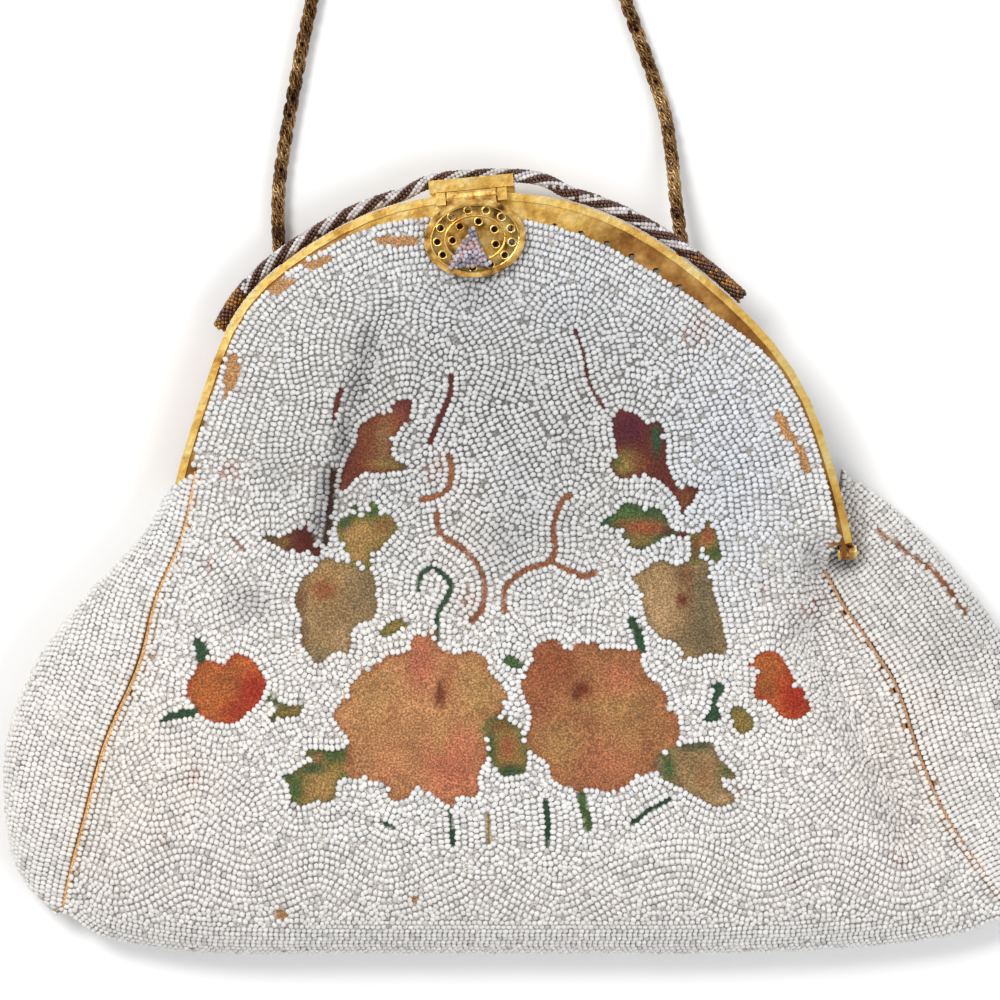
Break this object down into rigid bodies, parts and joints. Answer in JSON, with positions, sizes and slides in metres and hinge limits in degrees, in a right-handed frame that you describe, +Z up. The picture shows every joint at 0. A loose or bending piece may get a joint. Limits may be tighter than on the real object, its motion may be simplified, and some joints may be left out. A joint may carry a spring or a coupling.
{
  "type": "beaded frame purse with chain handle",
  "caption": "Soft beaded silk purse lying on its back, with a hinged gilt arched frame, a swinging oval clasp, bead trim and a rope-chain handle.",
  "frame": {"origin": "on the surface that the purse lies on, under the middle of its flattened back", "axes": "+Z up off that surface, out of the front panel; +Y towards the handle; +X to the right as seen from above"},
  "size_m": [0.2197, 0.2482, 0.0303],
  "materials": {
    "gilt_brass": "worn gilt, bright on the edges",
    "dark_brass": "tarnished",
    "beaded_silk": "glossy white seed beads sewn on silk",
    "bead_trim": "white and bronze glass beads in a twist",
    "clasp_beads": "glossy white glass beads"
  },
  "bodies": {
    "purse": {"front_frame": "gilt_brass", "back_frame": "gilt_brass", "right_hinge_rivet": "gilt_brass", "left_hinge_rivet": "gilt_brass", "clasp_pin": "gilt_brass", "trim": "bead_trim", "front_panel": "beaded_silk", "back_panel": "beaded_silk", "left_gusset": "beaded_silk", "right_gusset": "beaded_silk", "handle_chain": "dark_brass"},
    "clasp": {"clasp_plaque": "gilt_brass", "clasp_beads": "clasp_beads"}
  },
  "joints": [
    {"name": "clasp_lift", "type": "hinge", "parent": "purse", "child": "clasp", "pos_m": [-0.00696, 0.09296, 0.01279], "axis": [-0.9948, -0.087, -0.0523], "range_deg": [0, 75]}
  ]
}
